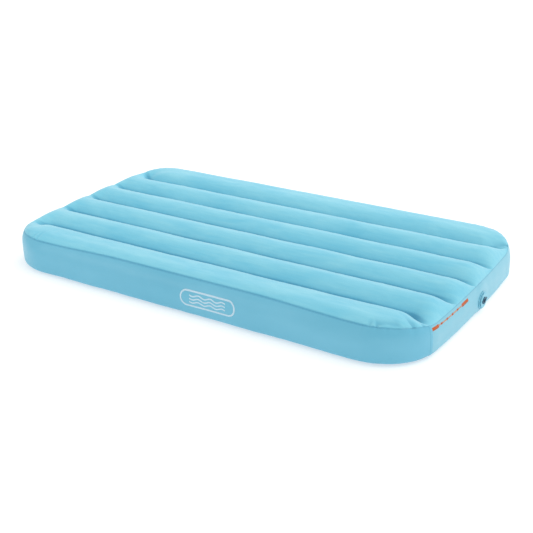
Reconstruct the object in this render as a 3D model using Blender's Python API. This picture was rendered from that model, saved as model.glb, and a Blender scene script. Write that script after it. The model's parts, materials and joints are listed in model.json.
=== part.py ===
"""Inflatable single airbed for a child, inflated.

A flocked top panel, a side wall and a bottom panel are welded into one chamber. Five lengthwise film beams
tie the top to the bottom and draw it into six tubes. A screw-in valve sits in the wall at one end.

Frame: origin in the middle of the footprint, on the floor. +X points to the end with the valve, +Z is up.
Units are metres.
"""

import math

import bmesh
import bpy
from mathutils import Matrix, Vector

# Overall size of the inflated bed
LENGTH = 1.57
WIDTH = 0.88
HEIGHT = 0.134

# Plan outline, at the widest height
CORNER_RADIUS = 0.175
END_BOW = 0.007
CORNER_STEPS = 8
SIDE_STEPS = 4
END_STEPS = 4
STRAIGHT_HALF_X = LENGTH / 2 - END_BOW - CORNER_RADIUS
STRAIGHT_HALF_Y = WIDTH / 2 - CORNER_RADIUS

# Film, thicker than the real 0.3 mm so that it holds as a solid
FILM = 0.0012

# Room between pieces: where they touch, and where two faceted curves run side by side
GAP = 0.0003
CHORD_CLEARANCE = 0.0016
SEAM_LIFT = 0.0012

# Tubes in the top panel
BEAM_COUNT = 5
BEAM_PITCH = 0.138
TUBE_RADIUS = 0.078
TUBE_STEPS = 6
OUTER_CREST_Y = BEAM_PITCH * BEAM_COUNT / 2
GROOVE_DEPTH = TUBE_RADIUS - math.sqrt(TUBE_RADIUS**2 - (BEAM_PITCH / 2) ** 2)
GROOVE_Z = HEIGHT - GROOVE_DEPTH
ROLL_OVER = 0.07
ROLL_STEPS = 5
LEAST_COLUMN_GAP = 0.004

# Side wall section: seam to the top panel, widest line, rounded foot
SEAM_INSET = 0.020
SEAM_Z_END = 0.093
SEAM_Z_SIDE = 0.119
SEAM_LEAN = math.radians(57)
WIDEST_Z = 0.055
FOOT_WIDTH = 0.036
FOOT_HEIGHT = 0.019
FOOT_SEAM_INSET = 0.016
SHOULDER_STEPS = 6
FOOT_STEPS = 4

# Bottom panel
BASE_INSET = FOOT_SEAM_INSET + CHORD_CLEARANCE
BASE_RIM = 0.08
BASE_GROOVE_HEIGHT = 0.010
BASE_GROOVE_HALF_WIDTH = 0.022

# Beams
BEAM_HALF_LENGTH = 0.665
BEAM_FOOT_Z = BASE_GROOVE_HEIGHT + FILM + 2 * GAP
BEAM_HEAD_Z = GROOVE_Z - FILM - 2 * GAP
BEAM_END_CUT = 0.022
BEAM_END_STEPS = 8

# Valve: its axis is parallel to X, and every face along it is measured from the wall
VALVE_Y = 0.033
VALVE_Z = 0.040
WALL_X = LENGTH / 2
ROUND_STEPS = 32
SMALL_ROUND_STEPS = 12
MERGE_DISTANCE = 1e-6
CUT_CLEARANCE = 0.002

# Base: the flange on the wall and the collar behind it
BASE_FLANGE_RADIUS = 0.0275
BASE_FLANGE_THICKNESS = 0.0020
BASE_FLANGE_FACE = GAP + BASE_FLANGE_THICKNESS
COLLAR_RADIUS = 0.0185
COLLAR_BORE_RADIUS = 0.0165
COLLAR_DEPTH = 0.0180
WALL_HOLE_RADIUS = COLLAR_RADIUS + 0.0008
WALL_HOLE_REACH = 0.012

# Seal ring and screw-in insert
SEAL_INNER_RADIUS = 0.0172
SEAL_OUTER_RADIUS = 0.0206
SEAL_THICKNESS = 0.0014
SEAL_BACK = BASE_FLANGE_FACE + GAP
INSERT_BACK = SEAL_BACK + SEAL_THICKNESS + GAP
INSERT_FLANGE_RADIUS = 0.0230
INSERT_FLANGE_THICKNESS = 0.0026
INSERT_FACE = INSERT_BACK + INSERT_FLANGE_THICKNESS
BARREL_RADIUS = 0.0160
BARREL_BORE_RADIUS = 0.0102
BARREL_TIP = -0.0155
GRIP_NOTCHES = 12
GRIP_NOTCH_RADIUS = 0.0022
SPOKE_COUNT = 3
SPOKE_WIDTH = 0.0022
SPOKE_DEPTH = 0.0022
HUB_RADIUS = 0.0034
HUB_BORE_RADIUS = 0.0017

# Check flap, with the head that keeps it on the insert
FLAP_RADIUS = 0.0128
FLAP_THICKNESS = 0.0010
FLAP_LIFT = 0.0030
STEM_RADIUS = 0.0013
STEM_HEAD_RADIUS = 0.0024
STEM_HEAD_THICKNESS = 0.0012

# Cap: a plug on a living hinge at its +Y side
CAP_RADIUS = 0.0112
CAP_BACK = INSERT_FACE + GAP
CAP_THICKNESS = 0.0022
CAP_FACE = CAP_BACK + CAP_THICKNESS
PLUG_ROOT_RADIUS = 0.0098
PLUG_TIP_RADIUS = 0.0083
PLUG_DEPTH = 0.0075
PLUG_TIP = CAP_BACK - PLUG_DEPTH
DISH_RADIUS = 0.0066
DISH_MOUTH_RADIUS = 0.0074
DISH_DEPTH = 0.0040
HINGE_OFFSET = 0.0140
STRAP_WIDTH = 0.0080
STRAP_THICKNESS = 0.0011
HINGE_X = CAP_BACK + STRAP_THICKNESS
STRAP_END = 0.0212
STRAP_STUD_OFFSET = 0.0183
STRAP_STUD_RADIUS = 0.0012
STRAP_STUD_DEPTH = 0.0018
STUD_HOLE_RADIUS = STRAP_STUD_RADIUS + GAP
LIFT_TAB_LENGTH = 0.0045
LIFT_TAB_WIDTH = 0.0070
WELD_OVERLAP = 0.0006

# Colours
FLOCK_BLUE = (0.33, 0.68, 0.76)
VINYL_BLUE = (0.21, 0.55, 0.70)
BASE_BLUE = (0.09, 0.27, 0.45)
CLEAR_BLUE = (0.30, 0.52, 0.62)
VALVE_BLUE = (0.20, 0.53, 0.68)
CAP_TEAL = (0.02, 0.12, 0.18)
SEAL_GREY = (0.55, 0.60, 0.62)


def clear_scene():
    for item in list(bpy.data.objects):
        bpy.data.objects.remove(item, do_unlink=True)


def material(name, colour, roughness):
    made = bpy.data.materials.new(name)
    made.use_nodes = True
    shader = made.node_tree.nodes["Principled BSDF"]
    shader.inputs["Base Color"].default_value = (*colour, 1.0)
    shader.inputs["Roughness"].default_value = roughness
    shader.inputs["Metallic"].default_value = 0.0
    return made


def make_object(name, mesh_data, finish):
    """A bmesh turned into an object of its own, shaded smooth except at its sharp edges."""
    mesh = bpy.data.meshes.new(name)
    mesh_data.to_mesh(mesh)
    mesh_data.free()
    mesh.shade_smooth()
    mesh.set_sharp_from_angle(angle=math.radians(40))
    made = bpy.data.objects.new(name, mesh)
    made.data.materials.append(finish)
    bpy.context.collection.objects.link(made)
    return made


def thicken(item, side):
    """Gives an open surface its film thickness: side -1 is away from its normals, 0 is half on each side."""
    solid = item.modifiers.new("film", "SOLIDIFY")
    solid.thickness = FILM
    solid.offset = side
    solid.use_even_offset = False


def boolean(item, other, operation):
    """Cuts `other` out of `item`, or joins it on, and keeps `other` only as a guide."""
    step = item.modifiers.new(operation.lower(), "BOOLEAN")
    step.operation = operation
    step.solver = "EXACT"
    step.object = other
    other.hide_render = True
    other.display_type = "WIRE"


# --- plan outline -------------------------------------------------------------------------------------------


def corner_arc(inset, quadrant):
    """Points of one rounded corner, `inset` inside the outline, with their outward normals."""
    side_x = 1 if quadrant in (0, 3) else -1
    side_y = 1 if quadrant in (0, 1) else -1
    centre = Vector((side_x * STRAIGHT_HALF_X, side_y * STRAIGHT_HALF_Y))
    points = []
    for step in range(CORNER_STEPS + 1):
        turn = math.pi / 2 * (quadrant + step / CORNER_STEPS)
        normal = Vector((math.cos(turn), math.sin(turn)))
        points.append((centre + (CORNER_RADIUS - inset) * normal, normal))
    return points


def bowed_side(start, end, bow, steps):
    """Points strictly between two corners, on a shallow parabola that bows outwards."""
    points = []
    for step in range(1, steps):
        share = step / steps
        lift = bow * (1 - (2 * share - 1) ** 2)
        points.append((start[0].lerp(end[0], share) + lift * start[1], start[1]))
    return points


def outline(inset):
    """The closed plan outline, `inset` inside the widest line, as (point, outward normal) pairs."""
    points = []
    for quadrant in range(4):
        arc = corner_arc(inset, quadrant)
        following = corner_arc(inset, (quadrant + 1) % 4)
        is_long_side = quadrant in (0, 2)
        bow = 0.0 if is_long_side else END_BOW
        steps = SIDE_STEPS if is_long_side else END_STEPS
        points += arc + bowed_side(arc[-1], following[0], bow, steps)
    return points


def end_bow(y):
    return END_BOW * max(0.0, 1 - (y / STRAIGHT_HALF_Y) ** 2)


def depth_inside(x, y, inset):
    """How far a plan point lies inside the outline, and the square of the Y part of the nearest normal."""
    beyond_x = abs(x) - STRAIGHT_HALF_X
    beyond_y = abs(y) - STRAIGHT_HALF_Y
    radius = CORNER_RADIUS - inset
    if beyond_x > 0 and beyond_y > 0:
        reach = math.hypot(beyond_x, beyond_y)
        return radius - reach, (beyond_y / reach) ** 2
    to_end = radius - beyond_x + end_bow(y)
    to_side = radius - beyond_y
    return min(to_end, to_side), 1.0 if to_side < to_end else 0.0


def edge_x(y, inset):
    """Where the outline of that inset crosses the line of this y, on the +X side."""
    beyond_y = max(0.0, abs(y) - STRAIGHT_HALF_Y)
    radius = CORNER_RADIUS - inset
    return STRAIGHT_HALF_X + math.sqrt(max(0.0, radius**2 - beyond_y**2)) + end_bow(y)


# --- film panels --------------------------------------------------------------------------------------------


def seam_height(side_share):
    return SEAM_Z_END + (SEAM_Z_SIDE - SEAM_Z_END) * side_share


def quarter_round(share):
    """Rises from 0 to 1 as a quarter ellipse does, upright at its foot and level at its end."""
    return math.sqrt(1 - (1 - min(max(share, 0.0), 1.0)) ** 2)


def beam_lines():
    return [BEAM_PITCH * (index - (BEAM_COUNT - 1) / 2) for index in range(BEAM_COUNT)]


def tube_height(y):
    """Height of the top panel across the tubes, away from its edge."""
    if abs(y) > OUTER_CREST_Y:
        return HEIGHT
    from_groove = y / BEAM_PITCH % 1.0
    from_crest = abs(from_groove - 0.5) * BEAM_PITCH
    return HEIGHT - TUBE_RADIUS + math.sqrt(TUBE_RADIUS**2 - from_crest**2)


def top_height(x, y):
    depth, side_share = depth_inside(x, y, SEAM_INSET)
    seam = seam_height(side_share) + SEAM_LIFT
    return seam + (tube_height(y) - seam) * quarter_round(depth / ROLL_OVER)


def base_height(x, y):
    depth, _ = depth_inside(x, y, 0.0)
    rim = FOOT_HEIGHT * (1 - quarter_round(depth / FOOT_WIDTH))
    from_beam = min(abs(y - beam_y) for beam_y in beam_lines())
    groove = BASE_GROOVE_HEIGHT * max(0.0, 1 - from_beam / BASE_GROOVE_HALF_WIDTH) ** 2
    return rim + groove * quarter_round((depth - FOOT_WIDTH) / FOOT_WIDTH)


def tube_columns():
    """The y of each column of vertices between the outer crests, with one on every groove."""
    count = BEAM_COUNT * TUBE_STEPS
    return [OUTER_CREST_Y * (2 * index / count - 1) for index in range(count + 1)]


def base_columns():
    """The y of each column of the bottom panel at its grooves: their edges, flanks and middles."""
    half = BASE_GROOVE_HALF_WIDTH
    return [beam_y + offset for beam_y in beam_lines() for offset in (-half, -half / 2, 0.0, half / 2, half)]


def rim_depths(width):
    """Distances in from a rim, close together at the rim itself."""
    return [width * (step / ROLL_STEPS) ** 2 for step in range(ROLL_STEPS + 1)]


def panel(name, inset, inner_columns, rim_width, height_at, finish, faces_up):
    """A sheet over the plan outline, its vertices in columns along X, at the height from `height_at`."""
    rim_y = WIDTH / 2 - inset
    outer = [rim_y - depth for depth in rim_depths(rim_width)]
    outer = [y for y in outer if y > max(inner_columns) + LEAST_COLUMN_GAP]
    sheet = bmesh.new()
    grid = []
    for y in sorted([-y for y in outer] + inner_columns + outer):
        reach = edge_x(y, inset)
        right_half = [reach - depth for depth in rim_depths(rim_width)]
        xs = [-x for x in right_half] + [0.0] + right_half[::-1]
        grid.append([sheet.verts.new((x, y, height_at(x, y))) for x in xs])
    for left, right in zip(grid, grid[1:]):
        for index in range(len(left) - 1):
            corners = (left[index], left[index + 1], right[index + 1], right[index])
            sheet.faces.new(corners if faces_up else corners[::-1])
    made = make_object(name, sheet, finish)
    thicken(made, -1.0)
    return made


def wall_section(seam_z):
    """The wall's section from its seam down to its foot, as (inset, z)."""
    section = []
    for step in range(SHOULDER_STEPS, -1, -1):
        lean = SEAM_LEAN * step / SHOULDER_STEPS
        inset = SEAM_INSET * (1 - math.cos(lean)) / (1 - math.cos(SEAM_LEAN))
        section.append((inset, WIDEST_Z + (seam_z - WIDEST_Z) * math.sin(lean) / math.sin(SEAM_LEAN)))
    for step in range(FOOT_STEPS + 1):
        inset = FOOT_SEAM_INSET * (step / FOOT_STEPS) ** 2
        section.append((inset, FOOT_HEIGHT * (1 - quarter_round(inset / FOOT_WIDTH))))
    return section


def side_wall(finish):
    """The wall strip, closed round the bed, with the hole for the valve's collar."""
    sheet = bmesh.new()
    rings = []
    for level, (inset, _) in enumerate(wall_section(SEAM_Z_END)):
        ring = []
        for point, normal in outline(inset):
            z = wall_section(seam_height(normal.y**2))[level][1]
            ring.append(sheet.verts.new((point.x, point.y, z)))
        rings.append(ring)
    for upper, lower in zip(rings, rings[1:]):
        for index in range(len(upper)):
            following = (index + 1) % len(upper)
            sheet.faces.new((upper[index], lower[index], lower[following], upper[following]))
    made = make_object("side_wall", sheet, finish)
    thicken(made, -1.0)
    hole = disc_section(-WALL_HOLE_REACH, WALL_HOLE_REACH, WALL_HOLE_RADIUS)
    boolean(made, turned("valve_hole_guide", hole, finish), "DIFFERENCE")
    return made


def beam(index, y, finish):
    """One upright strip of film that ties a groove of the top panel to the bottom panel."""
    half_height = (BEAM_HEAD_Z - BEAM_FOOT_Z) / 2
    middle_z = BEAM_FOOT_Z + half_height
    right_end = []
    for step in range(BEAM_END_STEPS + 1):
        share = step / BEAM_END_STEPS
        x = BEAM_HALF_LENGTH - BEAM_END_CUT * math.sin(math.pi * share)
        right_end.append((x, middle_z + half_height * (2 * share - 1)))
    left_end = [(-x, z) for x, z in reversed(right_end)]
    sheet = bmesh.new()
    sheet.faces.new([sheet.verts.new((x, y, z)) for x, z in right_end + left_end])
    made = make_object(f"beam_{index}", sheet, finish)
    thicken(made, 0.0)
    return made


# --- valve --------------------------------------------------------------------------------------------------


def to_valve(along, radius, turn):
    """A point of the valve, from its distance out of the wall, its radius and its turn from +Y towards +Z."""
    return Vector((WALL_X + along, VALVE_Y + radius * math.cos(turn), VALVE_Z + radius * math.sin(turn)))


def disc_section(back, face, radius):
    """The section of a plain round bar between two distances out of the wall."""
    return [(back, 0.0), (back, radius), (face, radius), (face, 0.0)]


def turned(name, section, finish, steps=ROUND_STEPS, offset_y=0.0):
    """A solid turned about the valve's axis. `section` is (distance out of the wall, radius) for each corner.

    A section that starts on the axis also ends on it; any other is a closed ring.
    """
    body = bmesh.new()
    centre = to_valve(0.0, 0.0, 0.0) + Vector((0.0, offset_y, 0.0))
    corners = [body.verts.new(centre + Vector((along, radius, 0.0))) for along, radius in section]
    is_ring = section[0][1] > 0
    ends = zip(corners, corners[1:] + corners[:1]) if is_ring else zip(corners, corners[1:])
    sides = [body.edges.new(pair) for pair in ends]
    bmesh.ops.spin(
        body,
        geom=corners + sides,
        cent=centre,
        axis=(1.0, 0.0, 0.0),
        angle=2 * math.pi,
        steps=steps,
        use_merge=True,
    )
    bmesh.ops.remove_doubles(body, verts=body.verts, dist=MERGE_DISTANCE)
    bmesh.ops.recalc_face_normals(body, faces=body.faces)
    return make_object(name, body, finish)


def bar(name, along, from_radius, to_radius, width, turn, finish):
    """A square-edged bar that runs outwards from the valve's axis, between two distances out of the wall."""
    size = Vector((along[1] - along[0], to_radius - from_radius, width))
    middle = Vector(((along[0] + along[1]) / 2, (from_radius + to_radius) / 2, 0.0))
    place = Matrix.Translation(to_valve(0.0, 0.0, 0.0)) @ Matrix.Rotation(turn, 4, "X")
    shape = Matrix.Translation(middle) @ Matrix.Diagonal((*size, 1.0))
    body = bmesh.new()
    bmesh.ops.create_cube(body, size=1.0, matrix=place @ shape)
    return make_object(name, body, finish)


def valve_base(finish):
    """The flange welded to the wall, with the threaded collar behind it."""
    section = [
        (GAP, BASE_FLANGE_RADIUS),
        (BASE_FLANGE_FACE, BASE_FLANGE_RADIUS),
        (BASE_FLANGE_FACE, COLLAR_BORE_RADIUS),
        (-COLLAR_DEPTH, COLLAR_BORE_RADIUS),
        (-COLLAR_DEPTH, COLLAR_RADIUS),
        (GAP, COLLAR_RADIUS),
    ]
    return turned("valve_base", section, finish)


def insert_seal(finish):
    """The flat ring that the insert squeezes against the base."""
    face = SEAL_BACK + SEAL_THICKNESS
    section = [
        (SEAL_BACK, SEAL_OUTER_RADIUS),
        (face, SEAL_OUTER_RADIUS),
        (face, SEAL_INNER_RADIUS),
        (SEAL_BACK, SEAL_INNER_RADIUS),
    ]
    return turned("insert_seal", section, finish)


def valve_insert(finish):
    """The screwed body: a flange with a notched grip, a barrel, and a spoked seat at the barrel's tip."""
    section = [
        (INSERT_BACK, INSERT_FLANGE_RADIUS),
        (INSERT_FACE, INSERT_FLANGE_RADIUS),
        (INSERT_FACE, BARREL_BORE_RADIUS),
        (BARREL_TIP, BARREL_BORE_RADIUS),
        (BARREL_TIP, BARREL_RADIUS),
        (INSERT_BACK, BARREL_RADIUS),
    ]
    made = turned("valve_insert", section, finish)
    seat = (BARREL_TIP, BARREL_TIP + SPOKE_DEPTH)
    hub_section = [
        (seat[0], HUB_RADIUS),
        (seat[1], HUB_RADIUS),
        (seat[1], HUB_BORE_RADIUS),
        (seat[0], HUB_BORE_RADIUS),
    ]
    hub = turned("hub_guide", hub_section, finish, SMALL_ROUND_STEPS)
    spoke_start = (HUB_BORE_RADIUS + HUB_RADIUS) / 2
    spoke_end = (BARREL_BORE_RADIUS + BARREL_RADIUS) / 2
    for index in range(SPOKE_COUNT):
        turn = 2 * math.pi * index / SPOKE_COUNT
        spoke = bar(f"spoke_guide_{index}", seat, spoke_start, spoke_end, SPOKE_WIDTH, turn, finish)
        boolean(hub, spoke, "UNION")
    boolean(made, hub, "UNION")
    boolean(made, grip_cutters(finish), "DIFFERENCE")
    hole_floor = INSERT_FACE - STRAP_STUD_DEPTH - GAP
    stud_hole = disc_section(hole_floor, INSERT_FACE + CUT_CLEARANCE, STUD_HOLE_RADIUS)
    drill = turned("stud_hole_guide", stud_hole, finish, SMALL_ROUND_STEPS, STRAP_STUD_OFFSET)
    boolean(made, drill, "DIFFERENCE")
    return made


def grip_cutters(finish):
    """The round bars that cut the finger notches into the insert's rim."""
    cutters = bmesh.new()
    depth = INSERT_FLANGE_THICKNESS + 2 * CUT_CLEARANCE
    for index in range(GRIP_NOTCHES):
        turn = 2 * math.pi * (index + 0.5) / GRIP_NOTCHES
        centre = to_valve((INSERT_BACK + INSERT_FACE) / 2, INSERT_FLANGE_RADIUS + GRIP_NOTCH_RADIUS / 2, turn)
        bmesh.ops.create_cone(
            cutters,
            cap_ends=True,
            segments=SMALL_ROUND_STEPS,
            radius1=GRIP_NOTCH_RADIUS,
            radius2=GRIP_NOTCH_RADIUS,
            depth=depth,
            matrix=Matrix.Translation(centre) @ Matrix.Rotation(math.pi / 2, 4, "Y"),
        )
    return make_object("grip_guide", cutters, finish)


def check_flap(finish):
    """The soft disc that closes the seat from inside, held by a headed stem through the hub."""
    disc_face = BARREL_TIP - GAP
    head_back = BARREL_TIP + SPOKE_DEPTH + FLAP_LIFT + GAP
    section = [
        (disc_face - FLAP_THICKNESS, 0.0),
        (disc_face - FLAP_THICKNESS, FLAP_RADIUS),
        (disc_face, FLAP_RADIUS),
        (disc_face, STEM_RADIUS),
        (head_back, STEM_RADIUS),
        (head_back, STEM_HEAD_RADIUS),
        (head_back + STEM_HEAD_THICKNESS, STEM_HEAD_RADIUS),
        (head_back + STEM_HEAD_THICKNESS, 0.0),
    ]
    return turned("check_flap", section, finish)


def valve_cap(finish):
    """The dished plug with a lug towards its hinge and a lift tab on the far side."""
    section = [
        (CAP_FACE - DISH_DEPTH, 0.0),
        (CAP_FACE - DISH_DEPTH, DISH_RADIUS),
        (CAP_FACE, DISH_MOUTH_RADIUS),
        (CAP_FACE, CAP_RADIUS),
        (CAP_BACK, CAP_RADIUS),
        (CAP_BACK, PLUG_ROOT_RADIUS),
        (PLUG_TIP, PLUG_TIP_RADIUS),
        (PLUG_TIP, 0.0),
    ]
    made = turned("valve_cap", section, finish)
    thin = (CAP_BACK, CAP_BACK + STRAP_THICKNESS)
    overlap = CAP_RADIUS - 2 * WELD_OVERLAP
    lug = bar("cap_lug_guide", thin, overlap, HINGE_OFFSET - GAP, STRAP_WIDTH, 0.0, finish)
    tab = bar("lift_tab_guide", thin, overlap, CAP_RADIUS + LIFT_TAB_LENGTH, LIFT_TAB_WIDTH, math.pi, finish)
    boolean(made, lug, "UNION")
    boolean(made, tab, "UNION")
    return made


def cap_strap(finish):
    """The fixed end of the cap's living hinge, held by a stud in the insert's flange."""
    thin = (CAP_BACK, CAP_BACK + STRAP_THICKNESS)
    made = bar("cap_strap", thin, HINGE_OFFSET + GAP, STRAP_END, STRAP_WIDTH, 0.0, finish)
    stud = disc_section(INSERT_FACE - STRAP_STUD_DEPTH, CAP_BACK + STRAP_THICKNESS / 2, STRAP_STUD_RADIUS)
    boolean(made, turned("stud_guide", stud, finish, SMALL_ROUND_STEPS, STRAP_STUD_OFFSET), "UNION")
    return made


def place_origins():
    """Puts each moving piece's origin on the axis of its joint."""
    axis_point = to_valve(0.0, 0.0, 0.0)
    hinge_point = to_valve(HINGE_X, HINGE_OFFSET, 0.0)
    origins = {
        "valve_base": axis_point,
        "insert_seal": axis_point,
        "valve_insert": axis_point,
        "cap_strap": axis_point,
        "check_flap": axis_point,
        "valve_cap": hinge_point,
    }
    for name, origin in origins.items():
        item = bpy.data.objects[name]
        item.data.transform(Matrix.Translation(-origin))
        item.location = origin


def main():
    clear_scene()
    flocked = material("flocked_vinyl", FLOCK_BLUE, 0.85)
    vinyl = material("wall_vinyl", VINYL_BLUE, 0.5)
    base_vinyl = material("base_vinyl", BASE_BLUE, 0.55)
    beam_film = material("beam_film", CLEAR_BLUE, 0.4)
    valve_vinyl = material("valve_vinyl", VALVE_BLUE, 0.4)
    cap_vinyl = material("cap_vinyl", CAP_TEAL, 0.4)
    seal_rubber = material("seal_rubber", SEAL_GREY, 0.6)
    panel("top_panel", SEAM_INSET, tube_columns(), ROLL_OVER, top_height, flocked, faces_up=True)
    panel("bottom_panel", BASE_INSET, base_columns(), BASE_RIM, base_height, base_vinyl, faces_up=False)
    side_wall(vinyl)
    for index, y in enumerate(beam_lines(), start=1):
        beam(index, y, beam_film)
    valve_base(valve_vinyl)
    insert_seal(seal_rubber)
    valve_insert(valve_vinyl)
    check_flap(seal_rubber)
    valve_cap(cap_vinyl)
    cap_strap(cap_vinyl)
    place_origins()


main()
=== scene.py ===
"""Looks of a child-size flocked airbed.

The film pieces with their welds and puckers, the printed marks and the screw-in valve, then the floor, the
lights and the camera.
"""

import json
import math

import bmesh
import bpy
import numpy as np
from mathutils import Matrix, Vector


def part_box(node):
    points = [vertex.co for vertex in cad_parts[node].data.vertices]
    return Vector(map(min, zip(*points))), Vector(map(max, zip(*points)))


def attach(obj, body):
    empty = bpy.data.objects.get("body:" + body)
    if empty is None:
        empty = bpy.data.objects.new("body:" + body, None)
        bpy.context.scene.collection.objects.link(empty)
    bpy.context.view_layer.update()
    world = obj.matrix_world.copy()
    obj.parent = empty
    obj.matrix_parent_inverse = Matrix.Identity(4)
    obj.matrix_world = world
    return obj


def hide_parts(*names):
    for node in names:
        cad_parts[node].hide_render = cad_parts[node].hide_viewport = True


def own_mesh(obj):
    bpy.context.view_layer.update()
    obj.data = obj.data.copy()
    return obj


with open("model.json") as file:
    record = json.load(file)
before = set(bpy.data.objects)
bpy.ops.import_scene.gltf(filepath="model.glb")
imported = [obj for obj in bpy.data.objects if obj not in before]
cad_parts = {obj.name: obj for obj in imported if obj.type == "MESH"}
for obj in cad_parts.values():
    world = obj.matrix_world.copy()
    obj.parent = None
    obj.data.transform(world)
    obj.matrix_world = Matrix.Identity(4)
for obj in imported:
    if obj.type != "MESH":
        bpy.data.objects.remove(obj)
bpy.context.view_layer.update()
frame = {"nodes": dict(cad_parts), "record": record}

# --- sizes read from the frame ----------------------------

WALL_LOW, WALL_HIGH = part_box("side_wall")
LENGTH = WALL_HIGH[0] - WALL_LOW[0]
WIDTH = WALL_HIGH[1] - WALL_LOW[1]
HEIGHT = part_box("top_panel")[1][2]
BEAM_NODES = sorted(name for name in frame["nodes"] if name.startswith("beam_"))
BEAM_LINES = [(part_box(name)[0][1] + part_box(name)[1][1]) / 2 for name in BEAM_NODES]
BEAM_PITCH = BEAM_LINES[1] - BEAM_LINES[0]
BEAM_HALF_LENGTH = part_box(BEAM_NODES[0])[1][0]
JOINTS = {joint["name"]: joint for joint in frame["record"]["behaviour"]["joints"]}
VALVE = Vector(JOINTS["insert_turn"]["pos_m"])

# --- shape of the film ------------------------------------

# Plan outline at the widest height
CORNER_RADIUS = 0.175
END_BOW = 0.007
STRAIGHT_X = LENGTH / 2 - END_BOW - CORNER_RADIUS
STRAIGHT_Y = WIDTH / 2 - CORNER_RADIUS
CORNER_ARC = CORNER_RADIUS * math.pi / 2
QUARTER_RUN = STRAIGHT_Y + CORNER_ARC + STRAIGHT_X

# Shoulder: a rounded quarter from the widest line up to the crests, with the seam on it. It is wide and
# slack at the valve end, and narrow and full at the far end.
WIDEST_Z = 0.055
SHOULDER_WIDTH_SIDE = 0.067
SHOULDER_WIDTH_VALVE_END = 0.079
SHOULDER_WIDTH_FAR_END = 0.056
SHOULDER_POWER_SIDE = 2.0
SHOULDER_POWER_VALVE_END = 2.05
SHOULDER_POWER_FAR_END = 2.3
CORNER_FULLNESS = 1.0
SEAM_INSET_END = 0.0105
SEAM_INSET_CORNER = 0.0230
SEAM_INSET_SIDE = 0.0295
SEAM_CORNER_POWER = 3.4
TOP_RIM_Y = STRAIGHT_Y + CORNER_RADIUS - SEAM_INSET_CORNER
SEAM_DRAWN_FROM = 0.56
SEAM_DRAWN_LENGTH = 0.35
STEEPEST_SHARE = 0.999

# Foot: a quarter ellipse under the wall, with the seam to the bottom panel on it
FOOT_WIDTH = 0.036
FOOT_HEIGHT = 0.019
FOOT_SEAM_INSET = 0.016

# Tubes between the beams
TUBE_RADIUS = 0.078
OUTER_CREST_Y = BEAM_PITCH * len(BEAM_LINES) / 2
GROOVE_Z = HEIGHT - TUBE_RADIUS + math.sqrt(TUBE_RADIUS**2 - (BEAM_PITCH / 2) ** 2)
GROOVE_WELD_HALF_WIDTH = 0.0018
GROOVE_END_LENGTH = 0.055
GROOVE_FAR_END_LENGTH = 0.062
GROOVE_END_SHARPNESS = 0.15
GROOVE_END_SHARPENED = 0.040
GROOVE_FAN = 0.12
GROOVE_FAN_LENGTH = 0.075

# Seams pinch the film inwards, deeper along the sides than at the ends
PINCH_REACH = 0.0034
PINCH_DEPTH_SIDE = 0.0028
PINCH_DEPTH_END = 0.0007
FOOT_PINCH_DEPTH = 0.0014

# Puckers: short creases square to the seam in each corner, where the curved weld gathers the film
PUCKER_SEED = 20
PUCKER_COUNT = 8
PUCKER_PAST_CORNER = 0.020
PUCKER_SPREAD = 0.090
PUCKER_JITTER = 0.5
PUCKER_WIDTHS = (0.0034, 0.0055)
PUCKER_REACHES = (0.016, 0.040)
PUCKER_STRENGTHS = (0.5, 1.0)
PUCKER_SLANT = 0.25
PUCKER_DEPTH = 0.0052
PUCKER_FADE = 0.0015
FAR_END_PUCKER_SHARE = 0.35

# Unevenness of the taut film: long swells and short ripples, calm near the seam
NOISE_WAVES = 14
NOISE_PITCHES = (0.7, 1.5)
NOISE_PEAK = 1.6
TOP_SWELL = 0.0007
TOP_SWELL_LENGTH = 0.11
TOP_SWELL_SEED = 5
TOP_SWELL_DRAWN_OUT = [0.45, 1.0]
TOP_RIPPLE = 0.0003
TOP_RIPPLE_LENGTH = 0.035
TOP_RIPPLE_SEED = 6
TOP_UNEVEN_DROP = 0.0010
TOP_CALM_RIM = 0.03
WALL_SWELL = 0.0007
WALL_SWELL_LENGTH = 0.16
WALL_SWELL_SEED = 31
WALL_SWELL_DRAWN_OUT = [1, 1, 0.6]
WALL_RIPPLE = 0.00025
WALL_RIPPLE_LENGTH = 0.05
WALL_RIPPLE_SEED = 32
WALL_CALM_RIM = 0.02

# On the wall: distance from the seam for each metre of height, and how puckers shorten, weaken and start
WALL_FROM_SEAM = 1.25
WALL_PUCKER_SHORTENED = 1.6
WALL_PUCKER_SHARE = 0.55
WALL_PUCKER_FADE = 0.002

# Flat spot that the stiff valve makes in the wall
VALVE_FLAT_RADIUS = 0.031
VALVE_FLAT_FADE = 0.030
VALVE_FLAT_SET_IN = 0.0002
VALVE_FLAT_LOWEST = 0.004
VALVE_FLAT_FOOT_FADE = 0.008
VALVE_HOLE_RADIUS = 0.0268
VALVE_HOLE_DEPTH = 0.02
VALVE_HOLE_SEGMENTS = 96

# Base panel
BASE_GROOVE_HEIGHT = 0.010
BASE_GROOVE_HALF_WIDTH = 0.022
BASE_SHADE_WIDTH = 0.0045

# Film, and the lip that tucks the top of the wall in under the seam
FILM_THICKNESS = 0.0005
FILM_SHARP_ANGLE = 50
WALL_LIP_REACH = 0.004
WALL_LIP_DROP = 0.0022

# Inner beams
BEAM_THICKNESS = 0.0003
BEAM_CLEARANCE = 0.0009
BEAM_RIPPLE = 0.0008
BEAM_RIPPLE_PITCH = 0.045
BEAM_BAY_DEPTH = 0.012
BEAM_BAY_POWER = 12
BEAM_RIPPLE_SHIFT = 40

# Lap where the ends of the wall strip are welded together, near the corner at the valve end
LAP_RUN = STRAIGHT_Y + 0.0455
LAP_HALF_WIDTH = 0.006
LAP_THICKNESS = 0.0005
LAP_EDGE_POWER = 8
LAP_LIFT = 0.00006
# Painted light: the wall round the valve end is coloured paler from the lap on, as if more brightly lit,
# fading out past the far corner over this run
PAINTED_END_LIGHT_FADE = 0.25

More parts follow.
